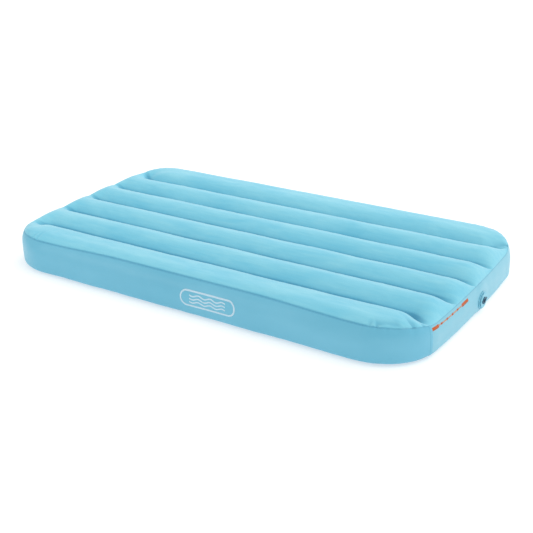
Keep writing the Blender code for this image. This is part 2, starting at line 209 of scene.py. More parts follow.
# Printed marks: ink on the long wall at -Y, and on the end wall at the valve end
PRINT_LIFT = 0.00022
PRINT_FILM = 0.00012
PRINT_STEP = 0.003
EMBLEM_CENTRE = (0.100, 0.0640)
EMBLEM_HALF_SIZE = (0.099, 0.0235)
EMBLEM_RADIUS = 0.0225
EMBLEM_LINE = 0.0055
EMBLEM_WAVE_REACH = 0.066
EMBLEM_WAVE_LENGTH = 0.044
EMBLEM_WAVE_HEIGHT = 0.0030
EMBLEM_WAVE_GAP = 0.0105
EMBLEM_WAVE_LINE = 0.0042
BAND_START = -0.313
BAND_END = -0.070
BAND_Z = 0.0835
BAND_CORNER_RISE = 0.0045
BAND_LEVEL_REACH = 0.20
BAND_HEIGHT = 0.0090
BAND_SOLID = 0.046
BAND_DASH = 0.010
BAND_DASH_GAP = 0.0015
BAND_DASH_HEIGHT = 0.0036
BAND_MARK_HEIGHT = 0.0056
BAND_MARK_EVERY = 3

# Valve details, as distances out of the wall and radii from the valve's axis
BASE_FACE = 0.0023
WELD_RING_INNER = 0.0236
WELD_RING_OUTER = 0.0270
WELD_RING_HEIGHT = 0.0004
WELD_RIDGES = 72
WELD_RIDGE_STEPS = 6
WELD_RIDGE_LOW = 0.45
# The ring's and the thread's sections: places across, then heights, as shares of the size given
WELD_RING_PROFILE = ((0.0, 0.0), (0.12, 0.8), (0.5, 1.0), (0.88, 0.8), (1.0, 0.0), (0.5, -0.6))
BARREL_RADIUS = 0.0160
THREAD_TOP = 0.0015
THREAD_TIP = -0.0135
THREAD_PITCH = 0.004
THREAD_HEIGHT = 0.00035
THREAD_HALF_WIDTH = 0.0009
THREAD_PROFILE = ((-1.0, -0.4), (-0.45, 1.0), (0.45, 1.0), (1.0, -0.4))
THREAD_STEPS_A_TURN = 64
THREAD_FADES_A_TURN = 3
THREAD_END_HEIGHT = 0.05
MOULDED_SHARP_ANGLE = 30
MOULDED_BEVEL_ANGLE = 40

# Floor, light and camera
FLOOR_SIZE = 60.0
FLOOR_Z = -0.0003
FLOOR_COLOUR = (0.62, 0.62, 0.62, 1.0)
SKY_STRENGTH = 0.74
SUN_STRENGTH = 1.1
SUN_SOFTNESS = 60.0
SUN_FROM = (0.42, 0.33, 0.85)
BACK_LIGHT_PLACE = (0.0, 2.3, 1.1)
BACK_LIGHT_SIZE = (3.2, 1.2)
BACK_LIGHT_POWER = 17.0
LEFT_LIGHT_PLACE = (-1.5, -2.1, 0.9)
LEFT_LIGHT_SIZE = (1.2, 0.9)
LEFT_LIGHT_POWER = 4.5
FLOOR_GLOW = 0.5
CAMERA_PLACE = (1.6752, -2.4986, 1.3319)
CAMERA_ANGLES = (33.38, 24.04, -1.58)
CAMERA_LENS = 64.75

# Colours of the flocked panel, from 0 to 255 as a screen shows them; the last is painted shade for its
# grooves, seam and puckers
FLOCK_SHADE = (119, 200, 224)
FLOCK_LIGHT = (146, 214, 230)
FLOCK_FIBRE = (108, 192, 215)
FLOCK_CREASE_SHADE = (58, 144, 180)

# How much painted shade the creases take, and the height of the vinyl's fine emboss; then how far the
# painted shade reaches in the grooves, at the seams, in the puckers and along the foot
FLOCK_CREASE_SHADE_SHARE = 0.6
VINYL_CREASE_SHADE_SHARE = 0.45
VINYL_GRAIN = 0.00005
CREASE_SHADE_HALF_WIDTH = 0.0130
CREASE_SHADE_FADE = 0.0050
CREASE_SHADE_END_FADE = 0.07
SEAM_SHADE_WIDTH = 0.0015
SEAM_SHADE_AT_END = 0.05
PUCKER_CREASE_SHADE = 0.8
WALL_SEAM_SHADE_WIDTH = 0.0016
WALL_FOOT_SHADE_WIDTH = 0.0035

# Mesh spacing
BEAM_COLUMNS = 180
BEAM_ROWS = 12
BASE_RIM_STEPS = 24
BASE_RIM_REACH = 0.09
BASE_MIDDLE_STEP = 0.02
BASE_GROOVE_COLUMNS = 13
BASE_BETWEEN = (-0.03, 0.0, 0.03)
LAP_COLUMNS = 9
RIM_CROWDING = 1.8
SHOULDER_CROWDING = 1.5
GROOVE_CROWDING = 0.7
SEAM_CORNER_STEPS = 400
TUBE_COLUMNS = 44
RIM_STEPS = 40
END_STEPS = 70
END_REACH = 0.24
MIDDLE_STEP = 0.0085
WALL_STEP = 0.005
SHOULDER_ROWS = 16
WALL_ROWS = 12
FOOT_ROWS = 8
FRAME_CORNER_STEPS = 8
EMBLEM_WAVE_POINTS = 81
BAND_LINE_POINTS = 12


def smooth_step(share):
    share = np.clip(share, 0.0, 1.0)
    return share * share * (3 - 2 * share)


def waves(points, length, seed):
    """Smooth noise between about -1 and 1: sines of random direction and phase, near one wavelength."""
    rng = np.random.default_rng(seed)
    total = np.zeros(len(points))
    for _ in range(NOISE_WAVES):
        direction = rng.normal(size=points.shape[1])
        direction /= np.linalg.norm(direction)
        pitch = length * rng.uniform(*NOISE_PITCHES)
        total += np.sin(points @ direction * 2 * math.pi / pitch + rng.uniform(0, 2 * math.pi))
    return total * math.sqrt(2 / NOISE_WAVES) / NOISE_PEAK


def end_bow(y):
    return END_BOW * np.maximum(0.0, 1 - (y / STRAIGHT_Y) ** 2)


def side_share_at(run):
    """0 on an end, 1 on a long side, by the run round the outline from the middle of an end."""
    turn = np.clip((run - STRAIGHT_Y) / CORNER_RADIUS, 0.0, math.pi / 2)
    return np.sin(turn) ** 2


def side_draw(run):
    """How much further in the seam is drawn along the middle of a long side."""
    return (SEAM_INSET_SIDE - SEAM_INSET_CORNER) * smooth_step((run - SEAM_DRAWN_FROM) / SEAM_DRAWN_LENGTH)


def seam_inset(run):
    """How far inside the widest line the top seam runs."""
    round_corner = (SEAM_INSET_CORNER - SEAM_INSET_END) * side_share_at(run) ** SEAM_CORNER_POWER
    return SEAM_INSET_END + round_corner + side_draw(run)


def place_inside(x, y):
    """For plan points: distance inside the widest line, side share of the nearest normal, run round it."""
    beyond_x = np.abs(x) - STRAIGHT_X
    beyond_y = np.abs(y) - STRAIGHT_Y
    in_corner = (beyond_x > 0) & (beyond_y > 0)
    turn = np.arctan2(np.maximum(beyond_y, 1e-9), np.maximum(beyond_x, 1e-9))
    to_corner = CORNER_RADIUS - np.hypot(beyond_x, beyond_y)
    to_end = CORNER_RADIUS - beyond_x + end_bow(y)
    to_side = CORNER_RADIUS - beyond_y
    nearer_side = to_side < to_end
    inset = np.where(in_corner, to_corner, np.minimum(to_end, to_side))
    side_share = np.where(in_corner, np.sin(turn) ** 2, np.where(nearer_side, 1.0, 0.0))
    run = np.where(nearer_side, STRAIGHT_Y + CORNER_ARC + np.maximum(0.0, -beyond_x), np.abs(y))
    run = np.where(in_corner, STRAIGHT_Y + CORNER_RADIUS * turn, run)
    return inset, side_share, run


def between_ends(x, far_end, valve_end):
    """A value that changes along the bed from one end's to the other's."""
    return far_end + (valve_end - far_end) * smooth_step(x / LENGTH + 0.5)


def shoulder_power(side_share, x):
    """How full the shoulder is: fullest in the middle of a corner."""
    at_end = between_ends(x, SHOULDER_POWER_FAR_END, SHOULDER_POWER_VALVE_END)
    straight = at_end + (SHOULDER_POWER_SIDE - at_end) * side_share
    return straight + CORNER_FULLNESS * 4 * side_share * (1 - side_share)


def shoulder_width(side_share, x):
    at_end = between_ends(x, SHOULDER_WIDTH_FAR_END, SHOULDER_WIDTH_VALVE_END)
    return at_end + (SHOULDER_WIDTH_SIDE - at_end) * side_share**0.5


def shoulder_height(inset, side_share, x):
    across = 1 - np.clip(inset / shoulder_width(side_share, x), 0.0, 1.0)
    power = shoulder_power(side_share, x)
    return WIDEST_Z + (HEIGHT - WIDEST_Z) * (1 - across**power) ** (1 / power)


def seam_height(run, x):
    return shoulder_height(seam_inset(run), side_share_at(run), x)


def seam_pinch(side_share, from_seam):
    """How far the top seam draws the film in, at a distance from it."""
    depth = PINCH_DEPTH_END + (PINCH_DEPTH_SIDE - PINCH_DEPTH_END) * side_share
    return depth * (1 - smooth_step(from_seam / PINCH_REACH)) ** 2


def from_beams(y):
    """Distance across the bed from the nearest beam's line."""
    return np.min([np.abs(y - line) for line in BEAM_LINES], axis=0)


def tube_height(y):
    """Height across the tubes, with the narrow flat of the weld at each groove's floor."""
    from_groove = np.abs((y / BEAM_PITCH + 0.5) % 1.0 - 0.5) * BEAM_PITCH
    from_groove = np.sqrt(from_groove**2 + GROOVE_WELD_HALF_WIDTH**2) - GROOVE_WELD_HALF_WIDTH
    from_crest = np.maximum(0.0, BEAM_PITCH / 2 - from_groove)
    round_top = HEIGHT - TUBE_RADIUS + np.sqrt(TUBE_RADIUS**2 - from_crest**2)
    return np.where(np.abs(y) > OUTER_CREST_Y, HEIGHT, round_top)


class Puckers:
    """Short creases square to a seam, where a curved weld gathers the film."""

    def __init__(self, seed, centre, spread, count):
        rng = np.random.default_rng(seed)
        jitter = rng.normal(0, spread / count * PUCKER_JITTER, count)
        self.runs = centre + spread * np.linspace(-1, 1, count) + jitter
        self.widths = rng.uniform(*PUCKER_WIDTHS, count)
        self.reaches = rng.uniform(*PUCKER_REACHES, count)
        self.depths = rng.uniform(*PUCKER_STRENGTHS, count)
        self.slants = rng.uniform(-PUCKER_SLANT, PUCKER_SLANT, count)

    def depth(self, run, from_seam):
        """From 0 to about 1: how deep the creases are, by the run round the outline and from the seam."""
        total = np.zeros(np.shape(run))
        for centre, width, reach, depth, slant in zip(
            self.runs, self.widths, self.reaches, self.depths, self.slants
        ):
            across = (run - centre - slant * from_seam) / (width * (1 + from_seam / reach))
            total += depth * np.exp(-(across**2)) * np.exp(-((from_seam / reach) ** 2))
        return total


CORNER_MIDDLE_RUN = STRAIGHT_Y + CORNER_RADIUS * math.pi / 4
QUADRANTS = [(1, 1), (1, -1), (-1, 1), (-1, -1)]
PUCKER_CENTRE = CORNER_MIDDLE_RUN + PUCKER_PAST_CORNER
CORNER_PUCKERS = {
    quadrant: Puckers(PUCKER_SEED + index, PUCKER_CENTRE, PUCKER_SPREAD, PUCKER_COUNT)
    for index, quadrant in enumerate(QUADRANTS)
}


def corner_puckers(x, y, run, from_seam):
    total = np.zeros(np.shape(run))
    for (side_x, side_y), puckers in CORNER_PUCKERS.items():
        here = (np.sign(x) == side_x) & (np.sign(y) == side_y)
        strength = 1.0 if side_x > 0 else FAR_END_PUCKER_SHARE
        total += np.where(here, strength * puckers.depth(run, from_seam), 0.0)
    return total


def top_height(x, y, across):
    """Height of the flocked panel at a plan point; `across` is where the point lies across the tubes."""
    inset, side_share, run = place_inside(x, y)
    from_seam = np.maximum(0.0, inset - seam_inset(run))
    shoulder = shoulder_height(inset, side_share, x)
    seam_z = seam_height(run, x)
    run_out = GROOVE_Z + (seam_z - GROOVE_Z) * (1 - smooth_step(from_seam / GROOVE_END_LENGTH))
    closed_up = shoulder - (HEIGHT - GROOVE_Z) * smooth_step(from_seam / GROOVE_FAR_END_LENGTH)
    floor = np.where(x > 0, run_out, closed_up)
    depth = (HEIGHT - tube_height(across)) / (HEIGHT - GROOVE_Z)
    sharpness = 1 + GROOVE_END_SHARPNESS * (1 - smooth_step(from_seam / GROOVE_END_SHARPENED))
    z = shoulder - np.maximum(0.0, shoulder - floor) * depth**sharpness
    z -= seam_pinch(side_share, from_seam)
    z -= PUCKER_DEPTH * corner_puckers(x, y, run, from_seam) * smooth_step(from_seam / PUCKER_FADE)
    plan = np.stack([x, y], axis=-1).reshape(-1, 2)
    swell = TOP_SWELL * waves(plan * TOP_SWELL_DRAWN_OUT, TOP_SWELL_LENGTH, TOP_SWELL_SEED)
    uneven = swell + TOP_RIPPLE * waves(plan, TOP_RIPPLE_LENGTH, TOP_RIPPLE_SEED)
    calm_rim = smooth_step(from_seam / TOP_CALM_RIM)
    return z + (uneven.reshape(np.shape(x)) - TOP_UNEVEN_DROP) * calm_rim


# --- wall surface -----------------------------------------


def outline_point(run, side_x, side_y):
    """Plan point and outward normal on the widest line, `run` away from the middle of the end at side_x."""
    turn = np.clip((run - STRAIGHT_Y) / CORNER_RADIUS, 0.0, math.pi / 2)
    beyond = np.maximum(0.0, run - STRAIGHT_Y - CORNER_ARC)
    on_end = run < STRAIGHT_Y
    x = STRAIGHT_X + CORNER_RADIUS * np.cos(turn) - beyond + np.where(on_end, end_bow(run), 0.0)
    y = np.where(on_end, run, STRAIGHT_Y + CORNER_RADIUS * np.sin(turn))
    return side_x * x, side_y * y, side_x * np.cos(turn), side_y * np.sin(turn)


def section_at(z, side_share, x):
    """The wall at a height: inset from the widest line, and its normal's outward and upward parts."""
    power = shoulder_power(side_share, x)
    width = shoulder_width(side_share, x)
    rise = np.clip((z - WIDEST_Z) / (HEIGHT - WIDEST_Z), 0.0, STEEPEST_SHARE)
    fall = np.clip(1 - z / FOOT_HEIGHT, 0.0, STEEPEST_SHARE)
    level_up = (1 - rise**power) ** (1 / power)
    level_down = np.sqrt(1 - fall**2)
    inset = width * (1 - level_up) + FOOT_WIDTH * (1 - level_down)
    on_foot = z < FOOT_HEIGHT
    outward = np.where(on_foot, level_down / FOOT_WIDTH, level_up ** (power - 1) / width)
    upward = np.where(on_foot, -fall / FOOT_HEIGHT, rise ** (power - 1) / (HEIGHT - WIDEST_Z))
    size = np.hypot(outward, upward)
    return inset, outward / size, upward / size


def wall_surface(run, side_x, side_y, z, lift=0.0):
    """Points of the inflated wall, with pinched seams, puckers and the valve's flat, raised by `lift`."""
    run, side_x, side_y, z = np.broadcast_arrays(run, side_x, side_y, z)
    plan_x, plan_y, normal_x, normal_y = outline_point(run, side_x, side_y)
    side_share = normal_y**2
    inset, outward, upward = section_at(z, side_share, plan_x)
    seam_z = seam_height(run, plan_x)
    below_seam = np.maximum(0.0, seam_z - z) * WALL_FROM_SEAM
    above_foot = FOOT_SEAM_INSET - inset
    offset = lift - seam_pinch(side_share, below_seam)
    at_foot = np.where(z < FOOT_HEIGHT, 1 - smooth_step(above_foot / PINCH_REACH), 0.0)
    offset = offset - FOOT_PINCH_DEPTH * at_foot**2
    around = np.stack([plan_x, plan_y, z], axis=-1).reshape(-1, 3)
    swell = WALL_SWELL * waves(around * WALL_SWELL_DRAWN_OUT, WALL_SWELL_LENGTH, WALL_SWELL_SEED)
    uneven = swell + WALL_RIPPLE * waves(around, WALL_RIPPLE_LENGTH, WALL_RIPPLE_SEED)
    offset = offset + uneven.reshape(np.shape(z)) * smooth_step(below_seam / WALL_CALM_RIM)
    puckers = corner_puckers(plan_x, plan_y, run, below_seam * WALL_PUCKER_SHORTENED)
    fade_in = smooth_step(below_seam / WALL_PUCKER_FADE)
    offset = offset - WALL_PUCKER_SHARE * PUCKER_DEPTH * puckers * fade_in
    x = plan_x - inset * normal_x + offset * outward * normal_x
    y = plan_y - inset * normal_y + offset * outward * normal_y
    height = z + offset * upward
    from_valve = np.hypot(plan_y - VALVE.y, z - VALVE.z)
    flat = 1 - smooth_step((from_valve - VALVE_FLAT_RADIUS) / VALVE_FLAT_FADE)
    above_foot_bend = smooth_step((z - VALVE_FLAT_LOWEST) / VALVE_FLAT_FOOT_FADE)
    flat = flat * (side_x > 0) * (run < STRAIGHT_Y) * above_foot_bend
    x = x + flat * (VALVE.x - VALVE_FLAT_SET_IN + lift - x)
    return np.stack([x, y, height], axis=-1)


# --- mesh helpers -----------------------------------------


def make_piece(name, points, faces, material):
    mesh = bpy.data.meshes.new(name)
    mesh.from_pydata([tuple(point) for point in points], [], [tuple(face) for face in faces])
    mesh.validate()
    mesh.shade_smooth()
    mesh.set_sharp_from_angle(angle=math.radians(FILM_SHARP_ANGLE))
    piece = bpy.data.objects.new(name, mesh)
    bpy.context.collection.objects.link(piece)
    mesh.materials.append(material)
    return piece


def grid_faces(rows, columns, wrap=False, flip=False):
    """Quads of a grid of vertices stored row by row; wrap joins the last column to the first."""
    last = columns if wrap else columns - 1
    row, column = np.meshgrid(np.arange(rows - 1), np.arange(last), indexing="ij")
    here = row * columns + column
    beside = row * columns + (column + 1) % columns
    quads = np.stack([here, beside, beside + columns, here + columns], axis=-1).reshape(-1, 4)
    return quads[:, ::-1] if flip else quads


def bake_modifiers(piece):
    """Replaces a piece's mesh by what its modifiers make of it."""
    depsgraph = bpy.context.evaluated_depsgraph_get()
    mesh = bpy.data.meshes.new_from_object(piece.evaluated_get(depsgraph))
    piece.modifiers.clear()
    piece.data = mesh


def thicken(piece, thickness=FILM_THICKNESS):
    """Gives a sheet its thickness, on the side away from its normals."""
    solid = piece.modifiers.new("film", "SOLIDIFY")
    solid.thickness = thickness
    solid.offset = -1.0
    bake_modifiers(piece)


def store(piece, name, values):
    attribute = piece.data.attributes.new(name, "FLOAT", "POINT")
    attribute.data.foreach_set("value", np.asarray(values, np.float32).ravel())


def film(piece, body, nodes):
    """A piece of film: it rides on a body, and hides the CAD parts that it stands in for."""
    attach(piece, body)
    if nodes:
        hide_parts(*nodes)
    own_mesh(piece)


# --- film pieces ------------------------------------------


def seam_reach(y):
    """Where the top seam crosses the line of each y, on the +X side."""
    turns = np.linspace(0.0, math.pi / 2, SEAM_CORNER_STEPS)
    radii = CORNER_RADIUS - seam_inset(STRAIGHT_Y + CORNER_RADIUS * turns)
    corner_y = STRAIGHT_Y + radii * np.sin(turns)
    corner_x = STRAIGHT_X + radii * np.cos(turns)
    in_corner = np.interp(np.abs(y), corner_y, corner_x)
    straight = STRAIGHT_X + CORNER_RADIUS - SEAM_INSET_END + end_bow(y)
    return np.where(np.abs(y) > STRAIGHT_Y, in_corner, straight)


def foot_reach(y):
    """Where the seam to the bottom panel crosses the line of each y, on the +X side."""
    radius = CORNER_RADIUS - FOOT_SEAM_INSET
    beyond = np.maximum(0.0, np.abs(y) - STRAIGHT_Y)
    return STRAIGHT_X + np.sqrt(np.maximum(0.0, radius**2 - beyond**2)) + end_bow(y)


def panel_grid(columns_y, reach, rim_width, rim_steps, middle_step):
    """Plan positions of a panel: one column of points along X for each y, closer together at the rim."""
    rim = rim_width * (np.arange(rim_steps + 1) / rim_steps) ** RIM_CROWDING
    middle_count = int(2 * (reach.max() - rim_width) / middle_step)
    middle = np.linspace(-1, 1, middle_count + 1)[1:-1]
    left = -reach[:, None] + rim[None, :]
    inner = middle[None, :] * (reach[:, None] - rim_width)
    x = np.concatenate([left, inner, -left[:, ::-1]], axis=1)
    return x, np.repeat(columns_y[:, None], x.shape[1], axis=1)


def top_columns():
    """Where the flocked panel's columns of points lie across the bed: closer together in the grooves."""
    share = np.arange(TUBE_COLUMNS) / TUBE_COLUMNS
    eased = share - GROOVE_CROWDING / (2 * math.pi) * np.sin(2 * math.pi * share)
    count = len(BEAM_LINES) + 1
    grooves = BEAM_PITCH * (np.arange(count) - count / 2)
    inner = (grooves[:, None] + BEAM_PITCH * eased[None, :]).ravel()
    inner = inner[np.abs(inner) <= OUTER_CREST_Y]
    gap = TOP_RIM_Y - inner.max()
    rim = TOP_RIM_Y - gap * (np.arange(RIM_STEPS) / RIM_STEPS) ** 2
    return np.concatenate([-rim, inner, rim[::-1]])


def fanned(columns):
    """How far each groove and crest veers outwards where it meets the end seam."""
    outermost = BEAM_LINES[-1]
    inner = np.clip(columns, -OUTER_CREST_Y, OUTER_CREST_Y)
    fade = np.clip((TOP_RIM_Y - np.abs(columns)) / (TOP_RIM_Y - OUTER_CREST_Y), 0.0, 1.0)
    return GROOVE_FAN * inner * (inner / outermost) ** 2 * fade


def top_plan():
    """Plan positions of the flocked panel's points, and where each lies across the tubes."""
    across = top_columns()
    fan = fanned(across)
    reach = seam_reach(across + fan)
    x, across = panel_grid(across, reach, END_REACH, END_STEPS, MIDDLE_STEP)
    near_end = smooth_step(1 - (reach[:, None] - np.abs(x)) / GROOVE_FAN_LENGTH)
    y = across + fan[:, None] * near_end
    at_rim = np.clip((np.abs(y) - OUTER_CREST_Y) / (np.abs(y).max() - OUTER_CREST_Y), 0.0, 1.0)
    _, _, run = place_inside(x, y)
    return x, y - np.sign(y) * at_rim * side_draw(run), across


def make_top(material):
    x, y, across = top_plan()
    points = np.stack([x, y, top_height(x, y, across)], axis=-1)
    piece = make_piece("flocked_top", points.reshape(-1, 3), grid_faces(*x.shape), material)
    # Painted shade for the grooves, the seam and the puckers, kept on the points as an attribute
    store(piece, "crease_shade", top_crease_shade(x, y, across))
    film(piece, "top", ["top_panel"])


def top_crease_shade(x, y, across):
    """How far into a weld or a seam a point of the flocked panel lies, from 0 to 1: how much painted shade
    it takes there, and in the puckers painted shade together with the darker nap of the creases.
    """
    inset, side_share, run = place_inside(x, y)
    from_seam = np.maximum(0.0, inset - seam_inset(run))
    fade_out = smooth_step(from_seam / CREASE_SHADE_END_FADE)
    at_line = smooth_step((CREASE_SHADE_HALF_WIDTH - from_beams(across)) / CREASE_SHADE_FADE) * fade_out
    seam_share = SEAM_SHADE_AT_END + (1 - SEAM_SHADE_AT_END) * side_share
    at_seam = np.exp(-((from_seam / SEAM_SHADE_WIDTH) ** 2)) * seam_share
    at_puckers = PUCKER_CREASE_SHADE * np.minimum(1.0, corner_puckers(x, y, run, from_seam))
    return np.max([at_line, at_seam, at_puckers], axis=0)


def outline_runs():
    """Every column of the wall: its run, and which end and side it is on, once round the bed."""
    runs = np.linspace(0.0, QUARTER_RUN, int(QUARTER_RUN / WALL_STEP) + 1)
    quarters = [(1, 1, runs[:-1]), (-1, 1, runs[:0:-1]), (-1, -1, runs[:-1]), (1, -1, runs[:0:-1])]
    run = np.concatenate([part for _, _, part in quarters])
    side_x = np.concatenate([np.full(len(part), float(side)) for side, _, part in quarters])
    side_y = np.concatenate([np.full(len(part), float(side)) for _, side, part in quarters])
    return run, side_x, side_y


def wall_heights(seam_z):
    """Heights of the wall's rows, from the seam down to the foot, closer together at both seams."""
    down = (np.arange(SHOULDER_ROWS + 1) / SHOULDER_ROWS) ** SHOULDER_CROWDING
    shoulder = seam_z[None, :] + (WIDEST_Z - seam_z[None, :]) * down[:, None]
    wall = WIDEST_Z + (FOOT_HEIGHT - WIDEST_Z) * np.arange(1, WALL_ROWS + 1) / WALL_ROWS
    foot_end = math.acos(1 - FOOT_SEAM_INSET / FOOT_WIDTH)
    foot = FOOT_HEIGHT * (1 - np.sin(foot_end * np.arange(1, FOOT_ROWS + 1) / FOOT_ROWS))
    lower = np.concatenate([wall, foot])
    return np.concatenate([shoulder, np.repeat(lower[:, None], len(seam_z), axis=1)], axis=0)


def painted_end_light_share(run, side_x, side_y):
    """Share of painted light: 1 on the stretch of wall round the valve end, from the lap weld on, which is
    coloured paler as if more brightly lit; it fades past the far corner.
    """
    past_lap = smooth_step(0.5 + (LAP_RUN - run) / (2 * LAP_HALF_WIDTH))
    before_side = 1 - smooth_step((run - STRAIGHT_Y) / PAINTED_END_LIGHT_FADE)
    return np.where(side_x > 0, np.where(side_y < 0, past_lap, before_side), 0.0)


def make_wall(material):
    run, side_x, side_y = outline_runs()
    plan_x, _, normal_x, normal_y = outline_point(run, side_x, side_y)
    z = wall_heights(seam_height(run, plan_x))
    points = wall_surface(run[None, :], side_x[None, :], side_y[None, :], z)
    inward = np.stack([-normal_x, -normal_y, np.zeros(len(run))], axis=-1)
    lip = points[0] + inward * WALL_LIP_REACH - np.array([0.0, 0.0, WALL_LIP_DROP])
    points = np.concatenate([lip[None], points], axis=0)
    faces = grid_faces(points.shape[0], points.shape[1], wrap=True, flip=True)
    piece = make_piece("side_wall_film", points.reshape(-1, 3), faces, material)
    # Painted shade on the wall: a thin dark line just under the top seam, and darkening along the foot where
    # it meets the floor
    at_seam = np.exp(-(((points[1][None, :, 2] - points[..., 2]) / WALL_SEAM_SHADE_WIDTH) ** 2))
    at_foot = np.exp(-((points[..., 2] / WALL_FOOT_SHADE_WIDTH) ** 2))
    store(piece, "crease_shade", at_seam + at_foot)
    # Painted light: the wall round the valve end is made paler from the lap on, as if more brightly lit
    store(piece, "painted_end_light", np.tile(painted_end_light_share(run, side_x, side_y), len(points)))
    thicken(piece)
    cutter = valve_hole_cutter()
    cut = piece.modifiers.new("valve_hole", "BOOLEAN")
    cut.operation = "DIFFERENCE"
    cut.solver = "EXACT"
    cut.object = cutter
    bake_modifiers(piece)
    bpy.data.objects.remove(cutter, do_unlink=True)
    film(piece, "root", ["side_wall"])


def valve_hole_cutter():
    """A bar through the wall behind the valve's flange, wide enough for the collar when the bed has sunk."""
    mesh = bmesh.new()
    radius = VALVE_HOLE_RADIUS
    bmesh.ops.create_cone(
        mesh,
        cap_ends=True,
        segments=VALVE_HOLE_SEGMENTS,
        radius1=radius,
        radius2=radius,
        depth=VALVE_HOLE_DEPTH,
    )
    made = bpy.data.meshes.new("valve_hole_cutter")
    mesh.to_mesh(made)
    mesh.free()
    cutter = bpy.data.objects.new("valve_hole_cutter", made)
    cutter.matrix_world = Matrix.Translation(VALVE) @ Matrix.Rotation(math.pi / 2, 4, "Y")
    bpy.context.collection.objects.link(cutter)
    return cutter


def base_height(x, y):
    """Height of the bottom panel at a plan point: it lies flat, and lifts at its rim and under the beams."""
    inset, _, _ = place_inside(x, y)
    rim = FOOT_HEIGHT * (1 - np.sqrt(1 - (1 - np.clip(inset / FOOT_WIDTH, 0, 1)) ** 2))
    groove = BASE_GROOVE_HEIGHT * np.maximum(0.0, 1 - from_beams(y) / BASE_GROOVE_HALF_WIDTH) ** 2
    fade = smooth_step((inset - FOOT_WIDTH) / FOOT_WIDTH)
    pinch = FOOT_PINCH_DEPTH * (1 - smooth_step((inset - FOOT_SEAM_INSET) / PINCH_REACH)) ** 2
    return rim + groove * fade + pinch


def make_base(material):
    groove = BASE_GROOVE_HALF_WIDTH * np.linspace(-1, 1, BASE_GROOVE_COLUMNS)
    between = BEAM_PITCH / 2 + np.array(BASE_BETWEEN)
    inner = [line + offset for line in BEAM_LINES for offset in groove]
    inner += [line + offset for line in BEAM_LINES[:-1] for offset in between]
    inner = np.sort(inner)
    rim_y = STRAIGHT_Y + CORNER_RADIUS - FOOT_SEAM_INSET
    rim = rim_y - (rim_y - inner.max()) * (np.arange(BASE_RIM_STEPS) / BASE_RIM_STEPS) ** RIM_CROWDING
    columns = np.concatenate([-rim, inner, rim[::-1]])
    x, y = panel_grid(columns, foot_reach(columns), BASE_RIM_REACH, BASE_RIM_STEPS, BASE_MIDDLE_STEP)
    points = np.stack([x, y, base_height(x, y)], axis=-1).reshape(-1, 3)
    piece = make_piece("base_film", points, grid_faces(x.shape[0], x.shape[1], flip=True), material)
    # Painted shade along the grooves where the beams meet the base
    store(piece, "crease_shade", np.exp(-((from_beams(y) / BASE_SHADE_WIDTH) ** 2)))
    thicken(piece)
    film(piece, "root", ["bottom_panel"])


def make_beam(name, line, material):
    """An upright strip of film from the base's groove to the weld in the top, cut in a bay at each end."""
    along = np.linspace(-1, 1, BEAM_COLUMNS) * BEAM_HALF_LENGTH
    up = np.linspace(0, 1, BEAM_ROWS)[:, None]
    bay = BEAM_BAY_DEPTH * np.sin(math.pi * up) * np.abs(along / BEAM_HALF_LENGTH) ** BEAM_BAY_POWER
    x = along[None, :] - np.sign(along)[None, :] * bay
    on_line = np.full(x.shape, line)
    low = base_height(x, on_line) + BEAM_CLEARANCE
    high = top_height(x, on_line, on_line) - BEAM_CLEARANCE
    phase = 2 * math.pi * x / BEAM_RIPPLE_PITCH + line * BEAM_RIPPLE_SHIFT
    ripple = BEAM_RIPPLE * np.sin(math.pi * up) * np.sin(phase)
    points = np.stack([x, line + ripple, low + (high - low) * up], axis=-1)
    piece = make_piece(f"{name}_film", points.reshape(-1, 3), grid_faces(*x.shape), material)
    thicken(piece, BEAM_THICKNESS)
    film(piece, "root", [name])


def make_lap_weld(material):
    """Where the two ends of the wall strip overlap: a narrow raised band over the wall's height."""
    across = np.linspace(-1, 1, LAP_COLUMNS)
    run = LAP_RUN + LAP_HALF_WIDTH * across
    z = wall_heights(seam_height(run, outline_point(run, 1.0, -1.0)[0]))[1:-2]
    lift = LAP_THICKNESS * np.sqrt(np.maximum(0.0, 1 - across**LAP_EDGE_POWER))[None, :] + LAP_LIFT
    one = np.ones(z.shape)
    outer = wall_surface(run * one, one, -one, z, lift)
    piece = make_piece("wall_lap_weld", outer.reshape(-1, 3), grid_faces(*z.shape), material)
    thicken(piece, LAP_THICKNESS)
    film(piece, "root", [])


# --- printed marks ----------------------------------------


def side_wall_points(along, up, lift):
    """Points on the long wall at -Y, for distances along X and up."""
    run = QUARTER_RUN - np.abs(along)
    one = np.ones(np.shape(along))
    return wall_surface(run, np.where(along < 0, -one, one), -one, up, lift)


def end_wall_points(along, up, lift):
    """Points on the end wall at +X and its corners, for runs along Y and distances up."""
    one = np.ones(np.shape(along))
    return wall_surface(np.abs(along), one, np.where(along < 0, -one, one), up, lift)


def evenly_spaced(line, step, closed):
    """The same outline with its points `step` apart."""
    line = np.asarray(line, float)
    if closed:
        line = np.vstack([line, line[:1]])
    gone = np.concatenate([[0.0], np.cumsum(np.hypot(*np.diff(line, axis=0).T))])
    at = np.linspace(0, gone[-1], max(3, int(gone[-1] / step) + 1))
    spaced = np.stack([np.interp(at, gone, line[:, axis]) for axis in (0, 1)], axis=-1)
    return spaced[:-1] if closed else spaced


